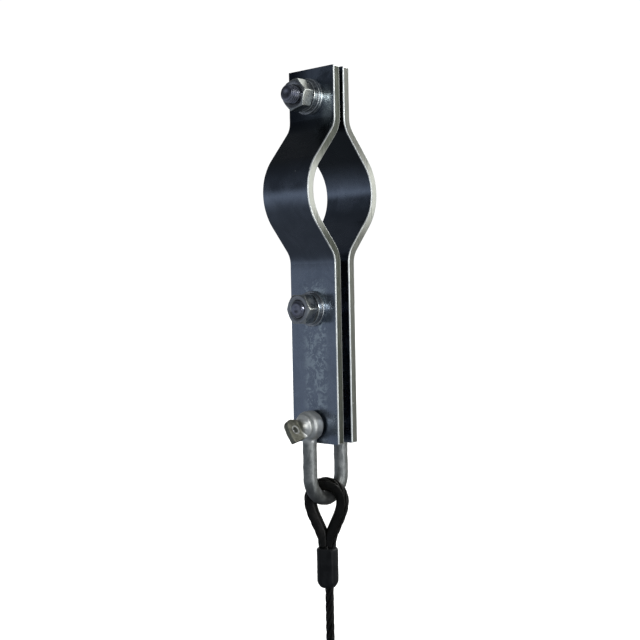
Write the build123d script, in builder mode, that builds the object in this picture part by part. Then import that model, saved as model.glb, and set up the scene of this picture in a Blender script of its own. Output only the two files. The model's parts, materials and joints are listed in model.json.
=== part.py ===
"""Hanging pipe clamp: two bent steel halves bolted round a tube, with a screw-pin
shackle in their lower ends and a black wire rope sling in the shackle.

Millimetres. The origin is on the tube's axis, in the middle of the clamp. +X runs along
the tube, +Z is up, and -Y is the front, where the nuts are.
"""

from math import cos, radians, sin, tan
import os

from build123d import *

os.makedirs("parts", exist_ok=True)

# ---------------------------------------------------------------- driving dimensions

# Tube and strap
tube_r = 24.15  # a 48.3 mm scaffold or truss tube
strap_w = 35.0
strap_t = 5.0
strap_edge = 0.9  # rolled edge of the flat bar
flank = 40.0  # slope of the strap between saddle and flats, in degrees
knee_r = 16.0  # inner radius where a flank runs out into a flat
z_top = 70.0
z_bottom = -141.0
half_gap_top = 1.5  # half the gap between the halves above the tube
half_gap_low = 3.2  # and below it

# Bolts, nuts and washers, M10
z_top_bolt = 54.0
z_mid_bolt = -65.0
bolt_r = 5.0
top_bolt_length = 35.0
mid_bolt_length = 32.0
hex_flats = 16.0
face_share = 0.95  # a nut's round face as a share of its width
chamfer_slope = 30.0  # in degrees
head_h = 6.4
nut_h = 8.0
hole_r = 5.5
washer_r = 10.0
washer_bore_r = 5.25
washer_t = 2.0
spring_r = 9.05
spring_bore_r = 5.2
spring_t = 2.6
running_gap = 0.05
tip_chamfer = 0.9
bore_chamfer = 0.5
washer_round = 0.35
spring_chamfer = 0.2
slit_w = 1.1
slit_slant = 0.45

# Shackle, 8 mm bar
z_pin = -130.7
z_pin_hole = -129.6
bar_r = 4.0
leg_y = 13.0  # the crown's radius too
crown_drop = 29.9  # from the pin's axis to the centre of the crown's arc
ear_r = 8.3
ear_in_y = 9.6  # the ears' inner and outer faces
ear_out_y = 17.1
ear_round = 2.4
ear_chamfer = 0.6
collar_r = 6.5
collar_t = 2.6
collar_dome = 2.2
pin_end = 0.4  # how far the pin stands out of the far ear
tab_base = 10.5
tab_tip = 14.5
tab_length = 10.0
tab_t = 3.4
tab_tilt = 30.0  # how far the tab is turned from upright, in degrees
tab_hole_r = 1.7
tab_hole_from_tip = 4.2
tab_corner_r = 4.6
tab_bulge = 0.9
tab_drop = 1.7  # the forged head sits low on the shank

# Wire rope, thimbles and ferrules
rope_r = 2.5
eye_r = 10.5  # rope's centreline round the top of the thimble
shoulder_r = 23.0
taper = 23.5  # slope of the eye's straight sides, in degrees
neck_r = 12.0
leg_spacing = 2.6  # half the spacing of the two ropes at the ferrule
eye_drop = 27.8  # from the eye's arc centre to the ferrule
groove_r = 2.6
thimble_depth = 4.9  # rope's centreline to the thimble's bearing face
thimble_half_w = 3.7
flange_rise = 0.8
ferrule_w = 12.3
ferrule_t = 10.4
ferrule_length = 22.6
ferrule_taper = 2.6
rope_offset = 0.8
rope_grip = 6.0  # how far a rope runs on inside a ferrule
sling_yaw = 30.0  # the upper eye's turn from the tube's direction, in degrees
free_rope = 34.0
seat_gap = 0.65  # room for the turned thimble over the curve of the crown

# ---------------------------------------------------------------- worked-out places

y_face_top = half_gap_top + strap_t
y_face_low = half_gap_low + strap_t
z_crown = z_pin - crown_drop
z_eye = z_crown - leg_y + bar_r + thimble_depth + seat_gap - eye_r
z_ferrule = z_eye - eye_drop
z_free = z_ferrule - ferrule_length
z_low_ferrule = z_free - free_rope
z_low_eye = z_low_ferrule - ferrule_length - eye_drop


def save(part, name):
    part.label = name
    export_step(part, f"parts/{name}.step")


# ---------------------------------------------------------------- the two bent halves


def strap_line(side):
    """The inner face of one half in the YZ plane, from its top end to its bottom end."""
    slope = radians(flank)
    knee_top = (tube_r - half_gap_top * cos(slope)) / sin(slope)
    knee_low = (tube_r - half_gap_low * cos(slope)) / sin(slope)
    return [
        (side * half_gap_top, z_top),
        (side * half_gap_top, knee_top),
        (side * tube_r / cos(slope), 0),
        (side * half_gap_low, -knee_low),
        (side * half_gap_low, z_bottom),
    ]


def clamp_half(side):
    """One half of the clamp: -1 is the front half, 1 the back half."""
    away = Side.RIGHT if side < 0 else Side.LEFT
    with BuildPart() as half:
        with BuildSketch(Plane.YZ):
            with BuildLine():
                FilletPolyline(*strap_line(side), radius=[knee_r, tube_r, knee_r])
                offset(amount=strap_t, side=away)
            make_face()
        extrude(amount=strap_w / 2, both=True)
        fillet(half.faces().filter_by(Axis.X).edges(), radius=strap_edge)
        with BuildSketch(Plane.XZ):
            with Locations((0, z_top_bolt), (0, z_mid_bolt), (0, z_pin_hole)):
                Circle(hole_r)
        extrude(amount=tube_r, both=True, mode=Mode.SUBTRACT)
    return half.part


# ---------------------------------------------------------------- bolts and nuts


def hexagon(y_low, height, z, turn, both_ends):
    """A hexagonal prism along Y, chamfered at its back end or at both ends."""
    corner_r = hex_flats / 2 / cos(radians(30)) + 0.1
    face_r = face_share * hex_flats / 2
    cut = (corner_r - face_r) * tan(radians(chamfer_slope))
    y_high = y_low + height
    front_rim = [(face_r, y_low), (corner_r, y_low + cut)]
    with BuildPart() as prism:
        with BuildSketch(Plane.XZ.offset(-y_high)):
            with Locations((0, z)):
                RegularPolygon(hex_flats / 2, 6, major_radius=False, rotation=turn)
        extrude(amount=height)
        with BuildSketch(Plane.XY.offset(z)):
            with BuildLine():
                Polyline(
                    (0, y_low),
                    *(front_rim if both_ends else [(corner_r, y_low)]),
                    (corner_r, y_high - cut),
                    (face_r, y_high),
                    (0, y_high),
                    close=True,
                )
            make_face()
        revolve(axis=Axis((0, 0, z), (0, 1, 0)), mode=Mode.INTERSECT)
    return prism.part


def bolt(y_seat, z, turn, length):
    """A hexagon bolt whose head bears at y_seat and whose shank points to the front."""
    head = hexagon(y_seat, head_h, z, turn, both_ends=False)
    with BuildPart() as whole:
        add(head)
        with BuildSketch(Plane.XZ.offset(-y_seat)):
            with Locations((0, z)):
                Circle(bolt_r)
        extrude(amount=length)
        chamfer(whole.faces().sort_by(Axis.Y)[0].edges(), length=tip_chamfer)
    return whole.part


def nut(y_face, z, turn):
    """A nut from y_face towards the front."""
    blank = hexagon(y_face - nut_h, nut_h, z, turn, both_ends=True)
    with BuildPart() as whole:
        add(blank)
        with BuildSketch(Plane.XZ.offset(-y_face)):
            with Locations((0, z)):
                Circle(bolt_r + running_gap)
        extrude(amount=nut_h, mode=Mode.SUBTRACT)
        bore_rims = whole.edges().filter_by(GeomType.CIRCLE).group_by(SortBy.RADIUS)[0]
        chamfer(bore_rims, length=bore_chamfer)
    return whole.part


def washer(y_back, z):
    """A flat washer from y_back towards the front."""
    with BuildPart() as ring:
        with BuildSketch(Plane.XZ.offset(-y_back)):
            with Locations((0, z)):
                Circle(washer_r)
                Circle(washer_bore_r, mode=Mode.SUBTRACT)
        extrude(amount=washer_t)
        rims = ring.edges().filter_by(GeomType.CIRCLE).group_by(SortBy.RADIUS)[-1]
        fillet(rims, radius=washer_round)
    return ring.part


def spring_washer(y_back, z, split_at):
    """A spring washer from y_back to the front, split on a slant at an angle."""
    with BuildPart() as ring:
        with BuildSketch(Plane.XZ.offset(-y_back)):
            with Locations((0, z)):
                Circle(spring_r)
                Circle(spring_bore_r, mode=Mode.SUBTRACT)
        extrude(amount=spring_t)
        chamfer(ring.edges().filter_by(GeomType.CIRCLE), length=spring_chamfer)
        out = radians(split_at)
        middle = (spring_r + spring_bore_r) / 2
        slit = Plane(
            origin=(middle * cos(out), y_back - spring_t / 2, z + middle * sin(out)),
            x_dir=(-sin(out), slit_slant, cos(out)),
            z_dir=(cos(out), 0, sin(out)),
        )
        with BuildSketch(slit):
            Rectangle(slit_w, 3 * spring_t)
        extrude(amount=spring_r - spring_bore_r, both=True, mode=Mode.SUBTRACT)
    return ring.part


def front_stack(prefix, flat_washers, y_face, z, nut_turn, split_at):
    """The washers and nut in front of the clamp at one bolt."""
    y = -y_face
    for name in flat_washers:
        save(washer(y, z), f"{prefix}_{name}_washer")
        y -= washer_t
    save(spring_washer(y, z, split_at), f"{prefix}_spring_washer")
    save(nut(y - spring_t, z, nut_turn), f"{prefix}_nut")


def back_stack(prefix, y_face, z, head_turn, length):
    """The bolt and the washer under its head."""
    save(washer(y_face + washer_t, z), f"{prefix}_back_washer")
    save(bolt(y_face + washer_t, z, head_turn, length), f"{prefix}_bolt")


# ---------------------------------------------------------------- shackle


def shackle_bow():
    """A bar bent to a U, with a round ear across each end."""
    y_in = ear_in_y
    y_out = ear_out_y
    with BuildPart() as bow:
        with BuildLine(Plane.YZ) as spine:
            Line((-leg_y, z_pin), (-leg_y, z_crown))
            CenterArc((0, z_crown), leg_y, 180, 180)
            Line((leg_y, z_crown), (leg_y, z_pin))
        with BuildSketch(Plane.XY.offset(z_pin)):
            with Locations((0, -leg_y)):
                Circle(bar_r)
        sweep(path=spine.wire())
        for side in (-1, 1):
            with BuildSketch(Plane.XY.offset(z_pin)):
                with BuildLine():
                    Polyline(
                        (ear_r - ear_round, side * y_out),
                        (0, side * y_out),
                        (0, side * y_in),
                        (ear_r - ear_chamfer, side * y_in),
                        (ear_r, side * (y_in + ear_chamfer)),
                        (ear_r, side * (y_out - ear_round)),
                    )
                    ThreePointArc(
                        (ear_r, side * (y_out - ear_round)),
                        (
                            ear_r - ear_round * (1 - cos(radians(45))),
                            side * (y_out - ear_round * (1 - sin(radians(45)))),
                        ),
                        (ear_r - ear_round, side * y_out),
                    )
                make_face()
            revolve(axis=Axis((0, 0, z_pin), (0, 1, 0)))
        with BuildSketch(Plane.XZ.offset(-y_out - 1)):
            with Locations((0, z_pin)):
                Circle(bar_r + running_gap)
        extrude(amount=2 * (y_out + 1), mode=Mode.SUBTRACT)
    return bow.part


def shackle_pin():
    """A screw pin: shank, round collar and a flared flat tab with a hole for locking wire."""
    y_collar = -ear_out_y
    tilt = radians(tab_tilt)
    tab_plane = Plane(
        origin=(0, y_collar - collar_t / 2, z_pin - tab_drop),
        x_dir=(0, -1, 0),
        z_dir=(cos(tilt), 0, sin(tilt)),
    )
    reach = tab_length + collar_t / 2
    with BuildPart() as pin:
        with BuildSketch(Plane.XY.offset(z_pin)):
            with BuildLine():
                Polyline(
                    (0, y_collar - collar_t - collar_dome),
                    (collar_r - 3.1, y_collar - collar_t - collar_dome),
                    (collar_r - 1.3, y_collar - collar_t),
                    (collar_r, y_collar - collar_t + 1.2),
                    (collar_r, y_collar - 0.5),
                    (collar_r - 0.5, y_collar),
                    (bar_r, y_collar),
                    (bar_r, ear_out_y + pin_end - 1),
                    (bar_r - 1, ear_out_y + pin_end),
                    (0, ear_out_y + pin_end),
                    close=True,
                )
            make_face()
        revolve(axis=Axis((0, 0, z_pin), (0, 1, 0)))
        with BuildSketch(tab_plane) as outline:
            with BuildLine():
                Polyline(
                    (reach, tab_tip / 2),
                    (0, tab_base / 2),
                    (0, -tab_base / 2),
                    (reach, -tab_tip / 2),
                )
                ThreePointArc((reach, -tab_tip / 2), (reach + tab_bulge, 0), (reach, tab_tip / 2))
            make_face()
            fillet(outline.vertices().sort_by(Axis.Y)[:2], radius=tab_corner_r)
        extrude(amount=tab_t / 2, both=True)
        with BuildSketch(tab_plane):
            with Locations((reach - tab_hole_from_tip, 0)):
                Circle(tab_hole_r)
        extrude(amount=collar_r, both=True, mode=Mode.SUBTRACT)
    return pin.part


# ---------------------------------------------------------------- wire rope sling


def eye_plane(z, up, yaw):
    """The plane of an eye: its x across the eye, its y from the ferrule to the eye's far end."""
    turn = radians(yaw)
    return Plane(
        origin=(0, 0, z),
        x_dir=(cos(turn), sin(turn), 0),
        z_dir=(up * sin(turn), -up * cos(turn), 0),
    )


def eye_side():
    """The rope's line down one side of an eye, from the middle of its far end, with the
    radius at each turn. The sides are straight runs joined by tangent arcs."""
    slope = radians(taper)
    shoulder_y = -shoulder_r * tan(slope / 2) - 0.1
    neck_y = shoulder_y - (eye_r - leg_spacing) / tan(slope)
    points = [
        (0, eye_r),
        (eye_r, eye_r),
        (eye_r, shoulder_y),
        (leg_spacing, neck_y),
        (leg_spacing, -eye_drop - rope_grip),
    ]
    return points, [eye_r - 0.1, shoulder_r, neck_r]


def rope_eye(plane):
    """The rope round a thimble, with both its legs running into the ferrule."""
    half, radii = eye_side()
    whole = [(-x, y) for x, y in half[:0:-1]] + half[1:]
    with BuildPart() as loop:
        with BuildLine(plane) as route:
            FilletPolyline(*whole, radius=radii[::-1] + radii)
        with BuildSketch(Plane(origin=route.wire() @ 0, z_dir=route.wire() % 0)):
            Circle(rope_r)
        sweep(path=route.wire())
    return loop.part


def thimble(plane):
    """A grooved teardrop ring that the rope lies round. One side is swept and mirrored."""
    half, radii = eye_side()
    end_x = thimble_depth * 0.86
    slope = radians(taper)
    end_y = half[2][1] - (eye_r - end_x) / tan(slope)
    with BuildPart() as ring:
        with BuildLine(plane) as route:
            FilletPolyline(*half[:3], (end_x, end_y), radius=radii[:2])
        start = route.wire() @ 0
        inward = -plane.y_dir
        with BuildSketch(Plane(origin=start, x_dir=inward, z_dir=plane.x_dir)) as groove:
            Ellipse(thimble_depth, thimble_half_w)
            with Locations((-flange_rise, 0)):
                Rectangle(20, 20, align=(Align.MAX, Align.CENTER), mode=Mode.SUBTRACT)
            Circle(groove_r, mode=Mode.SUBTRACT)
            Rectangle(
                20, 2 * groove_r, align=(Align.MAX, Align.CENTER), mode=Mode.SUBTRACT
            )
        sweep(path=route.wire())
        with BuildSketch(plane):
            Rectangle(60, 120, align=(Align.MIN, Align.CENTER))
        extrude(amount=20, both=True, mode=Mode.INTERSECT)
        mirror(about=Plane(origin=plane.origin, z_dir=plane.x_dir))
    return ring.part


def ferrule(plane):
    """A pressed sleeve, flat front and back, tapered where the single rope leaves it."""
    end = -eye_drop - ferrule_length
    side = ferrule_w / 2
    with BuildPart() as sleeve:
        with BuildSketch(plane):
            with BuildLine():
                Polyline(
                    (0, -eye_drop),
                    (side - 0.9, -eye_drop),
                    (side - 0.25, -eye_drop - 0.3),
                    (side, -eye_drop - 1),
                    (side, end + ferrule_taper + 0.8),
                    (side - 0.5, end + ferrule_taper - 0.5),
                    (rope_r + 1.9, end + 0.3),
                    (rope_r + 1.2, end),
                    (0, end),
                    close=True,
                )
            make_face()
        revolve(axis=Axis(plane.origin, plane.y_dir))
        with BuildSketch(plane):
            with Locations((0, -eye_drop)):
                Rectangle(2 * side, 3 * ferrule_length)
        extrude(amount=ferrule_t / 2, both=True, mode=Mode.INTERSECT)
    return sleeve.part


def standing_rope():
    """The single rope between the two ferrules, held at both ends inside them."""
    yaw = radians(sling_yaw)
    with BuildPart() as rope:
        with BuildSketch(Plane.XY.offset(z_low_ferrule - rope_grip)):
            with Locations((rope_offset * cos(yaw), rope_offset * sin(yaw))):
                Circle(rope_r)
        extrude(amount=free_rope + 2 * rope_grip)
    return rope.part


# ---------------------------------------------------------------- build and write

save(clamp_half(-1), "front_plate")
save(clamp_half(1), "back_plate")

front_stack("top", ["inner", "outer"], y_face_top, z_top_bolt, 13, 250)
front_stack("middle", ["front"], y_face_low, z_mid_bolt, 0, 205)
back_stack("top", y_face_top, z_top_bolt, 24, top_bolt_length)
back_stack("middle", y_face_low, z_mid_bolt, 7, mid_bolt_length)

save(shackle_bow(), "shackle_bow")
save(shackle_pin(), "shackle_pin")

upper_plane = eye_plane(z_eye, 1, sling_yaw)
lower_plane = eye_plane(z_low_eye, -1, 0)
save(thimble(upper_plane), "upper_thimble")
save(rope_eye(upper_plane), "upper_rope_eye")
save(ferrule(upper_plane), "upper_ferrule")
save(standing_rope(), "wire_rope")
save(ferrule(lower_plane), "lower_ferrule")
save(rope_eye(lower_plane), "lower_rope_eye")
save(thimble(lower_plane), "lower_thimble")

print("rope radii round an eye:", eye_side()[1])
print("eye", round(z_eye, 2), "ferrule", round(z_ferrule, 2), "rope", round(z_free, 2))
print("lower ferrule", round(z_low_ferrule, 2), "lower eye", round(z_low_eye, 2))
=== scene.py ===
"""Looks for the hanging pipe clamp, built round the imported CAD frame. Metres."""

import json
from math import cos, pi, radians, sin, tan

import bmesh
import bpy
from mathutils import Matrix, Vector, noise
import numpy as np


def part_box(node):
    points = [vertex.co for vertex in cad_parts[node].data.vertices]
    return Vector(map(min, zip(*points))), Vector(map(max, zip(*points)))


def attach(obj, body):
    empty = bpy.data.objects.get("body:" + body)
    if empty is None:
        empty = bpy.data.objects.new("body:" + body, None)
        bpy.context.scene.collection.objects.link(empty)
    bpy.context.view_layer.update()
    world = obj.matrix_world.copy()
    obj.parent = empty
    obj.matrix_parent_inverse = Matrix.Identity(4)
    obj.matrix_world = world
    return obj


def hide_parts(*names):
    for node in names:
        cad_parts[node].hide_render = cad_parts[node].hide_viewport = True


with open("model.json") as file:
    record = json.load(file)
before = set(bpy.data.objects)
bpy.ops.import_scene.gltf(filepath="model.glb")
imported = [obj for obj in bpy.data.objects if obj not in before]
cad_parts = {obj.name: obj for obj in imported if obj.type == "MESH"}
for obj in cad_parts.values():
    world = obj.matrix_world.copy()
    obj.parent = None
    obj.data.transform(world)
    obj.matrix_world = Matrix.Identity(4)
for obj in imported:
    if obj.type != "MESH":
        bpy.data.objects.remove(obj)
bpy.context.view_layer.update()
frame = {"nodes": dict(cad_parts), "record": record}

MM = 0.001
scene = bpy.context.scene


# ---------------------------------------------------------------- camera, stage and light

LENS = 61.9
AZIMUTH = radians(42.816)
ELEVATION = radians(1.6)
ROLL = radians(-1.108)
DISTANCE = 627.8 * MM
AIM_ACROSS = -1.706 * MM
AIM_HEIGHT = -71.6 * MM
FLOOR = -1.2
FLOOR_REACH = 60.0
LIGHT_AIM = (0, 0, -0.08)

# The room that the metal mirrors: (which way, how bright), from -1 at one end of an axis to 1.
# Its front and back change with height, and towards_back says how far round a direction is.
FRONT_TINT = (0.90, 0.98, 1.12)
FRONT_LEVELS = (
    (-1, 0.17),
    (-0.30, 0.25),
    (-0.12, 0.40),
    (-0.03, 0.58),
    (0.05, 0.36),
    (0.16, 0.09),
    (0.5, 0.11),
    (1, 0.14),
)
BACK_TINT = (1.0, 1.0, 0.97)
BACK_LEVELS = ((-1, 0.18), (-0.35, 0.26), (0, 0.50), (0.5, 0.90), (0.75, 1.05), (1, 0.5))
TOWARDS_BACK = ((-1, 0), (0.15, 0), (0.62, 1), (1, 1))
NO_TINT = (1, 1, 1)
SEEN_ROOM = (1.06, 1.06, 1.06, 1)



def add_camera():
    back = Vector((sin(AZIMUTH) * cos(ELEVATION), -cos(AZIMUTH) * cos(ELEVATION), sin(ELEVATION)))
    right = Vector((cos(AZIMUTH), sin(AZIMUTH), 0))
    up = back.cross(right)
    place = right * AIM_ACROSS + Vector((0, 0, AIM_HEIGHT)) + back * DISTANCE
    side = right * cos(ROLL) + up * sin(ROLL)
    top = up * cos(ROLL) - right * sin(ROLL)
    data = bpy.data.cameras.new("camera")
    data.lens = LENS
    data.sensor_width = 36
    data.clip_start = 0.01
    camera = bpy.data.objects.new("camera", data)
    camera.matrix_world = Matrix.LocRotScale(place, Matrix((side, top, back)).transposed(), None)
    scene.collection.objects.link(camera)
    scene.camera = camera


def add_light(name, place, size, power):
    data = bpy.data.lights.new(name, "AREA")
    data.shape = "RECTANGLE"
    data.size, data.size_y = size
    data.energy = power
    light = bpy.data.objects.new(name, data)
    light.location = place
    light.rotation_euler = (Vector(place) - Vector(LIGHT_AIM)).to_track_quat("Z", "Y").to_euler()
    scene.collection.objects.link(light)


def add_world():
    """Pale to look at. In the metal it is a room with a dim front, with a lighter band near the
    height of the object, and a back that is brighter upwards."""
    world = bpy.data.worlds.new("room")
    world.use_nodes = True
    nodes, links = world.node_tree.nodes, world.node_tree.links
    shade = nodes["Background"]
    where = nodes.new("ShaderNodeTexCoord")
    split = nodes.new("ShaderNodeSeparateXYZ")
    links.new(where.outputs["Generated"], split.inputs[0])

    def levels(axis, stops, tint):
        span = nodes.new("ShaderNodeMapRange")
        span.inputs["From Min"].default_value = -1
        links.new(split.outputs[axis], span.inputs["Value"])
        ramp = nodes.new("ShaderNodeValToRGB")
        links.new(span.outputs[0], ramp.inputs[0])
        ramp.color_ramp.interpolation = "EASE"
        places = ramp.color_ramp.elements
        while len(places) < len(stops):
            places.new(0.5)
        for place, (position, level) in zip(places, stops):
            place.position = (position + 1) / 2
            place.color = (*(level * c for c in tint), 1)
        return ramp.outputs[0]

    def mixed(factor, a, b):
        mix = nodes.new("ShaderNodeMix")
        mix.data_type = "RGBA"
        links.new(factor, mix.inputs["Factor"])
        links.new(a, mix.inputs["A"])
        if isinstance(b, tuple):
            mix.inputs["B"].default_value = b
        else:
            links.new(b, mix.inputs["B"])
        return mix.outputs["Result"]

    front = levels("Z", FRONT_LEVELS, FRONT_TINT)
    back = levels("Z", BACK_LEVELS, BACK_TINT)
    towards_back = levels("Y", TOWARDS_BACK, NO_TINT)
    room = mixed(towards_back, front, back)
    path = nodes.new("ShaderNodeLightPath")
    seen = mixed(path.outputs["Is Camera Ray"], room, SEEN_ROOM)
    links.new(seen, shade.inputs["Color"])
    scene.world = world


def add_stage():
    mesh = bpy.data.meshes.new("floor")
    ways = ((-1, -1), (1, -1), (1, 1), (-1, 1))
    corners = [(x * FLOOR_REACH, y * FLOOR_REACH, FLOOR) for x, y in ways]
    mesh.from_pydata(corners, [], [(0, 1, 2, 3)])
    floor = bpy.data.objects.new("floor", mesh)
    scene.collection.objects.link(floor)
    paint = bpy.data.materials.new("pale_floor")
    paint.use_nodes = True
    shade = paint.node_tree.nodes["Principled BSDF"]
    shade.inputs["Base Color"].default_value = (0.88, 0.88, 0.87, 1)
    shade.inputs["Roughness"].default_value = 0.9
    mesh.materials.append(paint)
    floor.visible_glossy = False
    floor.visible_diffuse = False
    data = bpy.data.lights.new("floor_light", "SUN")
    data.energy = 4.2
    data.angle = radians(70)
    light = bpy.data.objects.new("floor_light", data)
    light.location = (0, 0, 3)
    light.visible_glossy = False
    scene.collection.objects.link(light)


add_camera()
add_world()
add_stage()
add_light("near_camera", place=(0.62, -0.50, 0.12), size=(0.16, 0.22), power=1.6)
add_light("right", place=(1.0, 0.0, 0.0), size=(0.35, 1.1), power=3.8)
add_light("edge", place=(0.9, 1.0, 0.17), size=(0.07, 0.56), power=1.0)
add_light("behind", place=(0.25, 1.1, 0.75), size=(0.5, 0.5), power=8)
scene.view_settings.view_transform = "Standard"


# ---------------------------------------------------------------- materials


class Finish:
    """A procedural material on the Principled shader. Textures lie in the frame's coordinates."""

    def __init__(self, name, **values):
        self.material = bpy.data.materials.new(name)
        self.material.use_nodes = True
        self.nodes = self.material.node_tree.nodes
        self.links = self.material.node_tree.links
        self.shade = self.nodes["Principled BSDF"]
        where = self.nodes.new("ShaderNodeTexCoord")
        self.place = where.outputs["Object"]
        self.normal = where.outputs["Normal"]
        for key, value in values.items():
            self.shade.inputs[key.replace("_", " ")].default_value = value

    def feed(self, socket, value):
        if isinstance(value, bpy.types.NodeSocket):
            self.links.new(value, socket)
        elif isinstance(value, tuple) and socket.type == "RGBA":
            socket.default_value = (*value, 1)
        else:
            socket.default_value = value

    def math(self, kind, a, b=0.0):
        node = self.nodes.new("ShaderNodeMath")
        node.operation = kind
        self.feed(node.inputs[0], a)
        self.feed(node.inputs[1], b)
        return node.outputs[0]

    def times(self, a, b):
        return self.math("MULTIPLY", a, b)

    def axes(self, vector):
        node = self.nodes.new("ShaderNodeSeparateXYZ")
        self.feed(node.inputs[0], vector)
        return node.outputs

    def stretch(self, scale, vector=None):
        node = self.nodes.new("ShaderNodeVectorMath")
        node.operation = "MULTIPLY"
        self.feed(node.inputs[0], vector or self.place)
        node.inputs[1].default_value = scale
        return node.outputs[0]

    def noise(self, scale, detail=4.0, rough=0.55, twist=0.0, vector=None):
        node = self.nodes.new("ShaderNodeTexNoise")
        self.feed(node.inputs["Vector"], vector or self.place)
        node.inputs["Scale"].default_value = scale
        node.inputs["Detail"].default_value = detail
        node.inputs["Roughness"].default_value = rough
        node.inputs["Distortion"].default_value = twist
        return node.outputs["Fac"]

    def cells(self, scale, vector=None):
        node = self.nodes.new("ShaderNodeTexVoronoi")
        self.feed(node.inputs["Vector"], vector or self.place)
        node.inputs["Scale"].default_value = scale
        return node.outputs["Distance"]

    def far(self, centre):
        node = self.nodes.new("ShaderNodeVectorMath")
        node.operation = "DISTANCE"
        self.feed(node.inputs[0], self.place)
        node.inputs[1].default_value = centre
        return node.outputs["Value"]

    def step(self, value, low, high, start=0.0, end=1.0):
        """start below low, end above high, and a smooth change between them."""
        node = self.nodes.new("ShaderNodeMapRange")
        node.interpolation_type = "SMOOTHSTEP"
        self.feed(node.inputs["Value"], value)
        for key, number in (("From Min", low), ("From Max", high), ("To Min", start), ("To Max", end)):
            node.inputs[key].default_value = number
        return node.outputs[0]

    def band(self, value, rise, fall):
        """1 between rise and fall and 0 outside them, each a low and a high."""
        return self.times(self.step(value, *rise), self.step(value, *fall, 1, 0))

    def mix(self, factor, a, b):
        node = self.nodes.new("ShaderNodeMix")
        node.data_type = "RGBA"
        self.feed(node.inputs["Factor"], factor)
        self.feed(node.inputs["A"], a)
        self.feed(node.inputs["B"], b)
        return node.outputs["Result"]

    def bump(self, height, depth, under=None):
        node = self.nodes.new("ShaderNodeBump")
        self.feed(node.inputs["Height"], height)
        node.inputs["Distance"].default_value = depth
        if under:
            self.feed(node.inputs["Normal"], under)
        return node.outputs[0]

    def done(self, colour, roughness, normal):
        self.feed(self.shade.inputs["Base Color"], colour)
        self.feed(self.shade.inputs["Roughness"], roughness)
        self.feed(self.shade.inputs["Normal"], normal)
        return self.material


# Where the strap's colour changes, painted shade and highlight among them: each stretch is a low and a
# high, and a band has two
# Painted shade on the bend, on its upper slope and on the flat above, most at that flat's left
SHADED_BEND = ((3 * MM, 12 * MM), (34 * MM, 46 * MM))
SHADED_UPPER_SLOPE = ((8 * MM, 20 * MM), (40 * MM, 52 * MM))
SHADED_TOP_FLAT = (30 * MM, 45 * MM)
SHADED_TOP_LEFT = (-14 * MM, 4 * MM)
# A painted sheen on the top flat beside the top nut
PAINTED_SHEEN_ACROSS = ((6 * MM, 12 * MM), (14 * MM, 16.5 * MM))
PAINTED_SHEEN_HEIGHT = ((36 * MM, 46 * MM), (54 * MM, 61 * MM))
MARKS_MIDDLE = 1.5 * MM
MARKS_REACH = (5 * MM, 11 * MM)
MARKS_HEIGHT = ((-128 * MM, -118 * MM), (-55 * MM, -45 * MM))
BACK_HALF = (-1 * MM, 1 * MM)
# Painted highlight on the bar's sides at the tube's level
TUBE_LEVEL_HIGHLIGHT = (6 * MM, 27 * MM)

# How far a face is turned to the side: the bar's rounded edge, and its flat side
FLANK = (0.955, 0.999)
RIM = ((0.18, 0.50), FLANK)


def rolled_face(f, cloud, streak):
    """Clouded blue-grey zinc, with faint streaks along the bar."""
    tone = f.mix(f.step(cloud, 0.35, 0.68), (0.165, 0.195, 0.245), (0.225, 0.262, 0.325))
    return f.mix(f.step(streak, 0.50, 0.78, 0, 0.30), tone, (0.30, 0.33, 0.37))


def painted_shade_and_sheen(f, tone, cloud):
    """Painted shade where the bar is bent, most on the upper slope. The flat above has painted shade
    too, most at its left, and a painted sheen near its right edge."""
    x, _, z = f.axes(f.place)
    bend = f.band(f.math("ABSOLUTE", z), *SHADED_BEND)
    # painted shade where the bar is bent
    tone = f.mix(f.times(bend, 0.62), tone, (0.065, 0.075, 0.090))
    slope = f.band(z, *SHADED_UPPER_SLOPE)
    # painted shade on the upper slope
    tone = f.mix(f.times(slope, 0.80), tone, (0.018, 0.021, 0.020))
    top = f.step(z, *SHADED_TOP_FLAT)
    top_shade = f.times(top, f.step(cloud, 0.30, 0.65, 0.65, 0.15))
    # painted shade on the top flat, clouded
    tone = f.mix(top_shade, tone, (0.08, 0.10, 0.12))
    left = f.times(top, f.step(x, *SHADED_TOP_LEFT, 0.92, 0))
    # more painted shade at the top flat's left
    tone = f.mix(left, tone, (0.022, 0.028, 0.038))
    sheen = f.times(f.band(x, *PAINTED_SHEEN_ACROSS), f.band(z, *PAINTED_SHEEN_HEIGHT))
    # painted sheen near the top flat's right edge, beside the top nut
    return f.mix(f.times(sheen, 0.42), tone, (0.52, 0.58, 0.58))


def rubbed_marks(f, tone):
    """Pale marks down the middle of the lower flat."""
    x, _, z = f.axes(f.place)
    middle = f.step(f.math("ABSOLUTE", f.math("SUBTRACT", x, MARKS_MIDDLE)), *MARKS_REACH, 1, 0)
    broad = f.step(f.noise(150, 4, 0.6, 1.3), 0.49, 0.60)
    fine = f.step(f.noise(260, 2, 0.5, 2.6), 0.57, 0.63)
    marks = f.times(f.math("MAXIMUM", broad, fine), f.times(middle, f.band(z, *MARKS_HEIGHT)))
    return f.mix(f.times(marks, 0.52), tone, (0.50, 0.58, 0.61))


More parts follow.
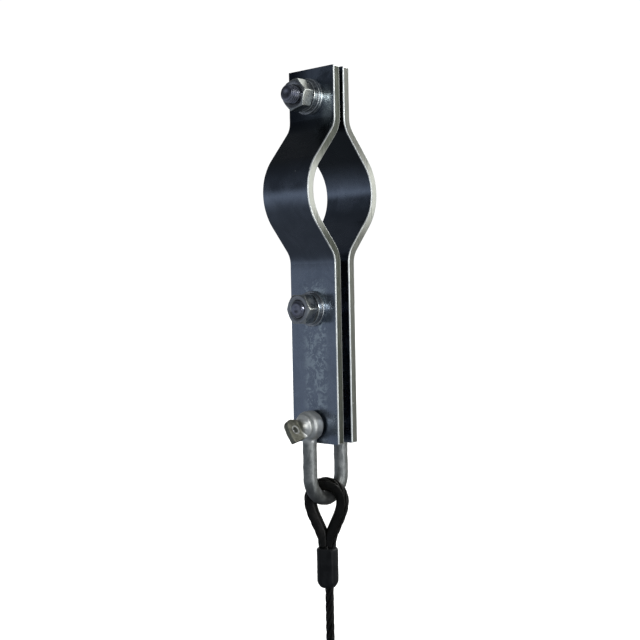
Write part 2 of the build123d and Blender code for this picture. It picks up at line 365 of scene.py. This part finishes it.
def sheared_side(f):
    """The bar's grey sides: paler on the back half, with a painted highlight at the tube's level, and dark
    lines.
    """
    _, y, z = f.axes(f.place)
    sheared = f.noise(1, 4, 0.6, vector=f.stretch((200, 1400, 160)))
    edge = f.mix(f.step(sheared, 0.35, 0.70), (0.070, 0.078, 0.064), (0.135, 0.145, 0.122))
    edge = f.mix(f.step(y, *BACK_HALF, 0, 0.35), edge, (0.36, 0.36, 0.335))
    # painted highlight on the sides at the tube's level
    edge = f.mix(f.step(f.math("ABSOLUTE", z), *TUBE_LEVEL_HIGHLIGHT, 0.80, 0), edge, (0.70, 0.72, 0.66))
    line = f.noise(1, 3, 0.5, vector=f.stretch((60, 900, 30)))
    return f.mix(f.step(line, 0.56, 0.66, 0, 0.55), edge, (0.09, 0.10, 0.085))


def strap_steel():
    """Zinc plate on flat bar: its faces with painted shade and sheen, its brighter rounded edges, its
    sides and a few nicks.
    """
    f = Finish("strap_steel", Metallic=1.0)
    side = f.math("ABSOLUTE", f.axes(f.normal)[0])
    cloud = f.noise(75, 5, 0.6, 0.8)
    streak = f.noise(1, 4, 0.6, vector=f.stretch((1500, 900, 45)))
    speck = f.noise(900, 3, 0.6)
    # the faces, with painted shade on the bend and a painted sheen beside the top nut
    tone = rubbed_marks(f, painted_shade_and_sheen(f, rolled_face(f, cloud, streak), cloud))
    worn = f.step(f.noise(160, 3, 0.6), 0.30, 0.60, 0.75, 1.0)
    tone = f.mix(f.times(f.band(side, *RIM), worn), tone, (0.74, 0.77, 0.75))
    tone = f.mix(f.step(side, *FLANK), tone, sheared_side(f))
    nick = f.times(f.step(f.cells(150), 0.035, 0.075, 0.8, 0), f.step(f.noise(40, 2), 0.58, 0.62))
    tone = f.mix(nick, tone, (0.55, 0.57, 0.57))
    rough = f.math("ADD", cloud, f.times(speck, 0.5))
    rough = f.math("ADD", f.step(rough, 0.5, 1.0, 0.20, 0.32), f.step(side, 0.1, 0.5, 0, 0.20))
    skin = f.bump(cloud, 0.12 * MM)
    skin = f.bump(streak, 0.010 * MM, skin)
    skin = f.bump(speck, 0.008 * MM, skin)
    return f.done(tone, rough, skin)


def bright_zinc(name, light, dark, rough=0.2, shift=0.0):
    """Bright zinc plate, faintly blue and yellow, with small dark spots, and painted shade where it
    faces the front. shift changes the size of the clouds, so that finishes differ."""
    f = Finish(name, Metallic=1.0)
    cloud = f.noise(260 + shift, 4, 0.6, 0.5)
    grain = f.noise(2200, 3, 0.6)
    tint = f.noise(120 + shift, 2)
    tone = f.mix(f.step(cloud, 0.32, 0.70), dark, light)
    tone = f.mix(f.step(tint, 0.45, 0.75, 0, 0.35), tone, (0.46, 0.45, 0.37))
    tone = f.mix(f.step(tint, 0.20, 0.45, 0.30, 0), tone, (0.28, 0.34, 0.47))
    spot = f.times(f.step(f.cells(520), 0.10, 0.22, 1, 0), f.step(cloud, 0.5, 0.6))
    tone = f.mix(f.times(spot, 0.25), tone, (0.16, 0.16, 0.15))
    # painted shade on faces that point to the front
    front = f.times(f.axes(f.normal)[1], -1.0)
    tone = f.mix(f.step(front, 0.75, 0.97, 0, 0.62), tone, (0.10, 0.10, 0.14))
    roughness = f.step(cloud, 0.3, 0.75, rough, rough + 0.16)
    skin = f.bump(cloud, 0.06 * MM)
    skin = f.bump(grain, 0.008 * MM, skin)
    return f.done(tone, roughness, skin)


# Heights of the painted shade round the bow's crown and of the painted highlight on its ears
SHADED_CROWN = (-172 * MM, -160 * MM)
LIT_EARS = (-141.5 * MM, -138.5 * MM)
TAB_HOLE = (0, -25.5 * MM, -132.4 * MM)
HOLE_EDGE = (2.1 * MM, 2.4 * MM)
HOLE_RING = (2.9 * MM, 3.4 * MM)
# Painted highlight on the pin's collar, from where to where along the pin
HIGHLIT_COLLAR = (-22.5 * MM, -19.5 * MM)


def shackle_painted_light(f):
    """Painted light on the bow: painted shade round the crown and a painted highlight on the ears."""
    z = f.axes(f.place)[2]
    # painted highlight on the ears, less painted shade round the crown
    return f.math("SUBTRACT", f.step(z, *LIT_EARS, 0, 0.55), f.step(z, *SHADED_CROWN, 0.55, 0))


def pin_painted_highlight_and_ring(f):
    """And the pin: a painted highlight on the collar, and paler in a ring round the tab's hole."""
    away = f.far(TAB_HOLE)
    ring = f.times(f.step(away, *HOLE_EDGE), f.step(away, *HOLE_RING, 0.45, 0))
    # painted highlight on the collar
    return f.math("MAXIMUM", ring, f.step(f.axes(f.place)[1], *HIGHLIT_COLLAR, 0, 0.85))


def galvanised(name, light, dark, rough, lump, extra):
    """Hot-dip zinc on a forging: satin, mottled and slightly pitted. extra gives a painted highlight
    where it is above 0 and painted shade where it is below, and on the pin a paler ring round the tab's
    hole."""
    f = Finish(name, Metallic=0.9)
    cloud = f.noise(190, 5, 0.65, 0.7)
    pit = f.cells(750)
    grain = f.noise(1600, 4, 0.65)
    tone = f.mix(f.step(cloud, 0.30, 0.72), dark, light)
    tone = f.mix(f.step(grain, 0.55, 0.75, 0, 0.45), tone, tuple(1.35 * c for c in light))
    tone = f.mix(f.step(pit, 0.06, 0.20, 0.55, 0), tone, tuple(0.45 * c for c in dark))
    gain = extra(f)
    # painted highlight where extra is above 0, then painted shade where it is below
    tone = f.mix(f.math("MAXIMUM", gain, 0.0), tone, (0.78, 0.80, 0.78))
    tone = f.mix(f.math("MAXIMUM", f.times(gain, -1.0), 0.0), tone, (0.05, 0.052, 0.05))
    roughness = f.step(cloud, 0.3, 0.7, rough, rough + 0.2)
    skin = f.bump(cloud, lump)
    skin = f.bump(grain, 0.03 * MM, skin)
    return f.done(tone, roughness, skin)


def black_coat(name, base, high, rough, wear):
    """Satin black coating, clouded, with fine grey scuffs."""
    f = Finish(name, Metallic=0.0, Specular_IOR_Level=0.13)
    cloud = f.noise(240, 4, 0.6, 0.4)
    grain = f.noise(1900, 4, 0.6)
    tone = f.mix(f.step(cloud, 0.35, 0.75), base, high)
    scuff = f.times(f.step(grain, 0.60, 0.74), f.step(cloud, 0.45, 0.65))
    tone = f.mix(f.times(scuff, wear), tone, (0.05, 0.05, 0.048))
    roughness = f.step(cloud, 0.3, 0.7, rough, rough + 0.16)
    skin = f.bump(cloud, 0.08 * MM)
    skin = f.bump(grain, 0.02 * MM, skin)
    return f.done(tone, roughness, skin)


FINISHES = {
    "strap_steel": strap_steel(),
    "bolt_zinc": bright_zinc("bolt_zinc", (0.50, 0.52, 0.58), (0.22, 0.23, 0.28), 0.18),
    "nut_zinc": bright_zinc("nut_zinc", (0.70, 0.73, 0.70), (0.46, 0.49, 0.48), 0.22, 31),
    "washer_zinc": bright_zinc("washer_zinc", (0.84, 0.88, 0.87), (0.58, 0.62, 0.62), 0.22, 57),
    "spring_steel": bright_zinc("spring_steel", (0.74, 0.77, 0.76), (0.46, 0.49, 0.48), 0.24, 83),
    "shackle_galvanised": galvanised(
        "shackle_galvanised", (0.30, 0.315, 0.31), (0.17, 0.18, 0.175), 0.34, 0.15 * MM, shackle_painted_light
    ),
    "pin_galvanised": galvanised(
        "pin_galvanised", (0.27, 0.27, 0.225), (0.14, 0.14, 0.108), 0.38, 0.20 * MM, pin_painted_highlight_and_ring
    ),
    "black_thimble": black_coat("black_thimble", (0.003, 0.003, 0.0027), (0.007, 0.007, 0.006), 0.24, 0.5),
    "black_rope": black_coat("black_rope", (0.003, 0.003, 0.0027), (0.009, 0.009, 0.008), 0.26, 0.9),
    "black_ferrule": black_coat("black_ferrule", (0.005, 0.0055, 0.006), (0.010, 0.011, 0.012), 0.34, 0.4),
}

for row in frame["record"]["subparts"]:
    node = frame["nodes"][row["node"]]
    node.data.materials.clear()
    node.data.materials.append(FINISHES[row["material_slot"]])
    for polygon in node.data.polygons:
        polygon.material_index = 0


# ---------------------------------------------------------------- meshes


def new_piece(name, points, faces):
    mesh = bpy.data.meshes.new(name)
    mesh.from_pydata([tuple(p) for p in points], [], faces)
    piece = bpy.data.objects.new(name, mesh)
    scene.collection.objects.link(piece)
    return piece


def ring_faces(rings, sides, closed):
    faces = []
    for i in range(rings if closed else rings - 1):
        a, b = i * sides, (i + 1) % rings * sides
        faces += [(a + j, a + (j + 1) % sides, b + (j + 1) % sides, b + j) for j in range(sides)]
    if not closed:
        faces.append(tuple(range(sides)))
        faces.append(tuple(range((rings - 1) * sides, rings * sides)))
    return faces


def place_piece(piece, node, body, crease=38):
    """Turns a mesh the right way out, shades it smooth, and lets it stand for a CAD node."""
    bm = bmesh.new()
    bm.from_mesh(piece.data)
    bmesh.ops.recalc_face_normals(bm, faces=bm.faces)
    bm.to_mesh(piece.data)
    bm.free()
    piece.data.shade_smooth()
    piece.data.set_sharp_from_angle(angle=radians(crease))
    slot = next(r["material_slot"] for r in frame["record"]["subparts"] if r["node"] == node)
    piece.data.materials.clear()
    piece.data.materials.append(FINISHES[slot])
    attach(piece, body)
    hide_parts(node)
    return piece


# Nuts and bolts: skins round an axis along Y

HEX_FLATS = 16.0 * MM
PITCH = 1.5 * MM
HEAD_H = 6.4 * MM
NUT_BORE = 5.05 * MM
FACE_R = 0.475 * HEX_FLATS
FACE_RIM = 0.985 * FACE_R
CHAMFER = radians(30)
CRISPNESS = 70  # of the hexagon's corners and of its edge with the cone
NUT_SIDES = 180
BOLT_SIDES = 96
THREAD_R = 4.97 * MM
THREAD_DEPTH = 0.85 * MM
THREAD_STEPS = 9  # rows of points in one turn of a bolt's thread
SHANK_R = 4.5 * MM
BOLT_END_R = 3.95 * MM
MOUTH = 0.62 * MM  # how much wider than its bore a nut's mouth is
MOUTH_LIP = 0.50 * MM

# How far below a hexagon's face its rows of points are
NUT_CUTS = (0, 0.04, 0.10, 0.18, 0.28, 0.40, 0.55, 0.75, 1.0, 1.3, 2.0, 3.0)
HEAD_CUTS = (0, 0.05, 0.12, 0.22, 0.35, 0.5, 0.7, 0.95, 1.25, 2.5)
PAST_CHAMFER = 4 * MM


def turned(turn, count):
    return radians(turn) + np.linspace(0, 2 * pi, count, endpoint=False)


def spindle_rows(rows, angles, z):
    """Points round an axis along Y. Each row is a y and a radius, or one radius for each angle."""
    points = []
    for y, radius in rows:
        radius = np.broadcast_to(radius, angles.shape)
        points += zip(radius * np.cos(angles), np.full(len(angles), y), z + radius * np.sin(angles))
    return points


def hexagon(angles, turn, from_face):
    """The radii, from_face below a hexagon's face, where a cone cuts off its corners."""
    sides = radians(turn + 30) + np.arange(6) * pi / 3
    terms = np.maximum(np.cos(angles[:, None] - sides), 0) / (HEX_FLATS / 2)
    cone = 1 / (FACE_R + from_face / tan(CHAMFER))
    total = (terms**CRISPNESS).sum(axis=1) + cone**CRISPNESS
    return total ** (-1 / CRISPNESS)


def thread(angles, y, major, depth, pitch):
    """The radii of a V thread with flat crests and roots, at y."""
    tooth = np.abs(2 * ((y / pitch + angles / (2 * pi)) % 1) - 1)
    return major - depth * (1 - np.clip((tooth - 0.2) / 0.62, 0, 1))


def make_nut(node, body, z, turn):
    low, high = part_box(node)
    angles = turned(turn, NUT_SIDES)
    near = [(c * MM, hexagon(angles, turn, c * MM)) for c in NUT_CUTS]
    rows = [(low.y + 0.55 * MM, NUT_BORE), (low.y + 0.04 * MM, NUT_BORE + MOUTH_LIP)]
    rows += [(low.y, NUT_BORE + MOUTH), (low.y, FACE_RIM)]
    rows += [(low.y + cut, radii) for cut, radii in near]
    rows += [(high.y - cut, radii) for cut, radii in reversed(near)]
    rows += [(high.y, FACE_RIM), (high.y, NUT_BORE + MOUTH)]
    rows += [(high.y - 0.04 * MM, NUT_BORE + MOUTH_LIP), (high.y - 0.55 * MM, NUT_BORE)]
    faces = ring_faces(len(rows), NUT_SIDES, True)
    return place_piece(new_piece("look_" + node, spindle_rows(rows, angles, z), faces), node, body)


def make_bolt(node, z, turn):
    """A fully threaded bolt: end, thread, plain neck under the head, and the head."""
    low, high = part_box(node)
    angles = turned(turn, BOLT_SIDES)
    seat = high.y - HEAD_H
    rows = [(low.y + 0.25 * MM, 0.6 * MM), (low.y + 0.10 * MM, 1.5 * MM)]
    rows += [(low.y, 2.2 * MM), (low.y, BOLT_END_R)]
    for y in np.arange(low.y + 0.08 * MM, seat - 2.2 * MM, PITCH / THREAD_STEPS):
        radius = thread(angles, y, THREAD_R, THREAD_DEPTH, PITCH)
        rows.append((y, np.minimum(radius, BOLT_END_R + 0.1 * MM + y - low.y)))
    rows += [(seat - 1.9 * MM, SHANK_R), (seat - 0.3 * MM, SHANK_R), (seat, 4.9 * MM)]
    rows += [(seat, FACE_RIM), (seat + 0.25 * MM, FACE_R)]
    full = hexagon(angles, turn, PAST_CHAMFER)
    rows += [(seat + 0.30 * MM, full * 0.995), (seat + 0.5 * MM, full)]
    near = [(c * MM, hexagon(angles, turn, c * MM)) for c in HEAD_CUTS]
    rows += [(high.y - cut, radii) for cut, radii in reversed(near)]
    rows += [(high.y, 0.97 * FACE_R), (high.y - 0.12 * MM, 0.90 * FACE_R)]
    rows += [(high.y - 0.15 * MM, 0.3 * FACE_R)]
    faces = ring_faces(len(rows), BOLT_SIDES, False)
    piece = new_piece("look_" + node, spindle_rows(rows, angles, z), faces)
    return place_piece(piece, node, "back_half")


Z_TOP_BOLT = 54 * MM
Z_MIDDLE_BOLT = -65 * MM
make_bolt("top_bolt", Z_TOP_BOLT, 24)
make_bolt("middle_bolt", Z_MIDDLE_BOLT, 7)
make_nut("top_nut", "top_nut", Z_TOP_BOLT, 13)
make_nut("middle_nut", "middle_nut", Z_MIDDLE_BOLT, 0)


# Forged and pressed pieces: the CAD shape, remeshed, smoothed and slightly uneven

def softened(node, voxel, rounds, lump, lump_size, seed):
    """A copy of a CAD node with rounder edges and low lumps, kept inside the node's box."""
    source = frame["nodes"][node]
    piece = bpy.data.objects.new("look_" + node, source.data.copy())
    scene.collection.objects.link(piece)
    remesh = piece.modifiers.new("remesh", "REMESH")
    remesh.mode = "VOXEL"
    remesh.voxel_size = voxel
    smooth = piece.modifiers.new("smooth", "SMOOTH")
    smooth.factor = 0.5
    smooth.iterations = rounds
    shape = bpy.data.meshes.new_from_object(piece.evaluated_get(bpy.context.evaluated_depsgraph_get()))
    piece.modifiers.clear()
    piece.data = shape
    low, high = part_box(node)
    shift = Vector((seed, 2 * seed, 3 * seed))
    spots, normals = np.empty((2, len(shape.vertices) * 3), np.float32)
    shape.vertices.foreach_get("co", spots)
    shape.vertices.foreach_get("normal", normals)
    spots, normals = spots.reshape(-1, 3), normals.reshape(-1, 3)
    bulge = np.array([noise.fractal(Vector(spot) / lump_size + shift, 1.0, 2.0, 3) for spot in spots])
    spots = np.clip(spots + normals * bulge[:, None] * lump, low, high)
    shape.vertices.foreach_set("co", spots.astype(np.float32).ravel())
    shape.update()
    return piece


Z_PIN = -130.7 * MM
PIN_R = 4.0 * MM
PIN_SHANK_R = 3.95 * MM
PIN_NECK_R = 3.6 * MM
PIN_PITCH = 1.25 * MM
PIN_SIDES = 64
PIN_HEAD_END = -16.9 * MM
EAR_BORE_R = PIN_R + 0.06 * MM
EAR_BORE_FROM = 9.0 * MM


def make_bow():
    """The bow, with its ears' bores kept clear of the pin."""
    bow = softened("shackle_bow", voxel=0.42 * MM, rounds=9, lump=0.16 * MM, lump_size=5 * MM, seed=1.3)
    for vertex in bow.data.vertices:
        x, z = vertex.co.x, vertex.co.z - Z_PIN
        away = (x * x + z * z) ** 0.5
        if away < EAR_BORE_R and abs(vertex.co.y) > EAR_BORE_FROM:
            vertex.co.x = x * EAR_BORE_R / away
            vertex.co.z = Z_PIN + z * EAR_BORE_R / away
    place_piece(bow, "shackle_bow", "shackle", 80)


def make_pin():
    """The head from the CAD shape, and a shank with a thread at its far end."""
    pin = softened("shackle_pin", voxel=0.32 * MM, rounds=9, lump=0.16 * MM, lump_size=3.4 * MM, seed=4.1)
    bm = bmesh.new()
    bm.from_mesh(pin.data)
    everything = bm.verts[:] + bm.edges[:] + bm.faces[:]
    cut = bmesh.ops.bisect_plane(
        bm, geom=everything, plane_co=(0, PIN_HEAD_END, 0), plane_no=(0, 1, 0), clear_outer=True
    )
    rim = [g for g in cut["geom_cut"] if isinstance(g, bmesh.types.BMEdge)]
    bmesh.ops.contextual_create(bm, geom=rim)
    angles = turned(0, PIN_SIDES)
    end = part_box("shackle_pin")[1].y
    rows = [(PIN_HEAD_END - 0.5 * MM, PIN_SHANK_R), (6.5 * MM, PIN_SHANK_R)]
    rows += [(7.0 * MM, PIN_NECK_R), (8.4 * MM, PIN_NECK_R)]
    for y in np.arange(8.6 * MM, end - 0.8 * MM, PIN_PITCH / 8):
        rows.append((y, thread(angles, y, PIN_SHANK_R, 0.6 * MM, PIN_PITCH)))
    rows += [(end - 0.7 * MM, PIN_NECK_R), (end - 0.1 * MM, 3.0 * MM)]
    rows += [(end, 2.6 * MM), (end - 0.05 * MM, 0.8 * MM)]
    verts = [bm.verts.new(p) for p in spindle_rows(rows, angles, Z_PIN)]
    for face in ring_faces(len(rows), PIN_SIDES, False):
        bm.faces.new([verts[i] for i in face])
    bm.to_mesh(pin.data)
    bm.free()
    place_piece(pin, "shackle_pin", "pin", 60)


make_bow()
make_pin()


# ---------------------------------------------------------------- wire rope sling

ROPE_R = 2.5 * MM
Z_EYE = -174.55 * MM
Z_LOW_EYE = -309.35 * MM
YAW = 30.0  # of the upper eye's plane, from the tube's direction
EYE_R = 10.5 * MM

# The rope's route round an eye in mm, across and up from the middle of its round end
EYE_ROUTE = [
    (-2.6, -29.5), (-2.6, -23.1), (-5.15, -17.2), (-10.8, -4.7), (-10.5, 4.4), (-4.4, 10.5),
    (4.4, 10.5), (10.5, 4.4), (10.8, -4.7), (5.15, -17.2), (2.6, -23.1), (2.6, -29.5),
]  # fmt: skip


def spline_line(points):
    """Points along the NURBS spline that has these control points."""
    curve = bpy.data.curves.new("route", "CURVE")
    curve.dimensions = "3D"
    spline = curve.splines.new("NURBS")
    spline.points.add(len(points) - 1)
    for point, place in zip(spline.points, points):
        point.co = (*place, 1)
    spline.order_u = 3
    spline.use_endpoint_u = True
    spline.resolution_u = 24
    route = bpy.data.objects.new("route", curve)
    scene.collection.objects.link(route)
    shape = bpy.data.meshes.new_from_object(route)
    line = np.array([v.co for v in shape.vertices])
    bpy.data.objects.remove(route)
    bpy.data.meshes.remove(shape)
    return line


def even(line, step):
    """The same line with points a step apart."""
    run = np.concatenate([[0], np.cumsum(np.linalg.norm(np.diff(line, axis=0), axis=1))])
    at = np.linspace(0, run[-1], max(2, round(run[-1] / step)) + 1)
    return np.stack([np.interp(at, run, line[:, i]) for i in range(3)], axis=1), at


def swept(line, across, section):
    """Rings of points along a line. section(i) gives each ring's points as rows of (across, out)."""
    ahead = np.gradient(line, axis=0)
    ahead /= np.linalg.norm(ahead, axis=1)[:, None]
    across = np.array(across, float)
    out = np.cross(ahead, across)
    out /= np.linalg.norm(out, axis=1)[:, None]
    points = []
    for i, place in enumerate(line):
        ring = section(i)
        points += list(place + ring[:, :1] * across + ring[:, 1:] * out[i])
    return points


STRANDS = 6
WIRES = 9
LAY = 34 * MM
WIRE_LAY = 0.55 * LAY
CORE_R = 0.95 * MM


def rope_mesh(name, line, across):
    """Six lobed strands laid round a core."""
    line, at = even(line, 0.7 * MM)
    strand_r = ROPE_R / 3
    around = np.linspace(0, 2 * pi, 4 * WIRES, endpoint=False)
    points, faces = [], []
    for k in range(STRANDS + 1):
        start = len(points)

        def section(i):
            if k == STRANDS:
                return CORE_R * np.stack([np.cos(around), np.sin(around)], axis=1)
            turn = 2 * pi * (k / STRANDS + at[i] / LAY)
            lobes = WIRES * (around + 2 * pi * at[i] / WIRE_LAY)
            radii = strand_r * (0.93 + 0.07 * np.abs(np.cos(lobes / 2)) ** 0.7)
            ring = radii[:, None] * np.stack([np.cos(around), np.sin(around)], axis=1)
            return ring + (ROPE_R - strand_r) * np.array([cos(turn), sin(turn)])

        points += swept(line, across, section)
        faces += [tuple(start + i for i in face) for face in ring_faces(len(line), len(around), False)]
    return new_piece(name, points, faces)


def in_eye(points, z, up, yaw):
    """Points given across and up in an eye's plane, in the frame."""
    turn = radians(yaw)
    return [(x * MM * cos(turn), x * MM * sin(turn), z + up * y * MM) for x, y in points]


THIMBLE_DEPTH = 4.9
THIMBLE_CROWN = 0.6  # how much deeper it is at the middle of the round end
TIP_REACH = 2.66 * MM
TIP_GAP = 0.02 * MM
TIPS_BELOW = -6 * MM


def thimble_section(depth):
    """A channel round the rope: bearing side, rounded lips and groove, as (across, out)."""
    half_w, groove, rise = 3.7, 2.56, 0.8
    outer = [(half_w * cos(a), -depth * sin(a)) for a in np.linspace(0, pi, 21)]
    inner = [(groove * cos(a), -groove * sin(a)) for a in np.linspace(pi, 0, 17)]
    middle, radius = (half_w + groove) / 2, (half_w - groove) / 2
    lip = np.linspace(0, pi, 9)
    left = [(-middle - radius * cos(a), rise - radius + radius * sin(a)) for a in lip]
    right = [(-x, y) for x, y in reversed(left)]
    return np.array(outer + left + inner + right) * MM


def make_thimble(node, z, up, yaw):
    turn = radians(yaw)
    sideways = np.array([cos(turn), sin(turn), 0])
    across = np.array([-sin(turn), cos(turn), 0]) * up
    line = even(spline_line(in_eye(EYE_ROUTE, z, up, yaw)), 0.6 * MM)[0]
    tips = np.abs(line @ sideways) > TIP_REACH
    keep = np.where(tips | ((line[:, 2] - z) * up > 0))[0]
    line = line[keep[0] : keep[-1] + 1]
    round_end = np.clip((line[:, 2] - z) * up / EYE_R, 0, 1) ** 2
    depths = THIMBLE_DEPTH + THIMBLE_CROWN * round_end
    points = np.array(swept(line, across, lambda i: thimble_section(depths[i])))
    in_ring = len(thimble_section(THIMBLE_DEPTH))
    # Both tips meet in the eye's middle plane
    own_side = np.sign(np.repeat(line @ sideways, in_ring))
    spot = points @ sideways
    low_half = (points[:, 2] - z) * up < TIPS_BELOW
    over = low_half & (spot * own_side < TIP_GAP)
    points[over] += ((own_side * TIP_GAP - spot)[:, None] * sideways)[over]
    piece = new_piece("look_" + node, points, ring_faces(len(line), in_ring, False))
    return place_piece(piece, node, "sling", 60)


def make_eye(node, z, up, yaw):
    turn = radians(yaw)
    across = (-sin(turn) * up, cos(turn) * up, 0)
    line = spline_line(in_eye(EYE_ROUTE, z, up, yaw))
    return place_piece(rope_mesh("look_" + node, line, across), node, "sling", 60)


def make_ferrule(node):
    piece = softened(node, voxel=0.32 * MM, rounds=4, lump=0.10 * MM, lump_size=6 * MM, seed=2.2)
    return place_piece(piece, node, "sling", 70)


sling = [
    make_eye("upper_rope_eye", Z_EYE, 1, YAW),
    make_thimble("upper_thimble", Z_EYE, 1, YAW),
    make_ferrule("upper_ferrule"),
    make_ferrule("lower_ferrule"),
    make_eye("lower_rope_eye", Z_LOW_EYE, -1, 0),
    make_thimble("lower_thimble", Z_LOW_EYE, -1, 0),
]

ROPE_X, ROPE_Y = 0.693 * MM, 0.4 * MM
ROPE_TOP, ROPE_END = -224.95 * MM, -258.95 * MM
IN_FERRULE = 1 * MM
FREE_ROUTE = [
    (ROPE_X, ROPE_Y, ROPE_TOP + IN_FERRULE),
    (ROPE_X, ROPE_Y, (ROPE_TOP + ROPE_END) / 2),
    (ROPE_X, ROPE_Y, ROPE_END - IN_FERRULE),
]
free_line = spline_line(FREE_ROUTE)
free_rope = place_piece(rope_mesh("look_wire_rope", free_line, (1, 0, 0)), "wire_rope", "sling", 60)
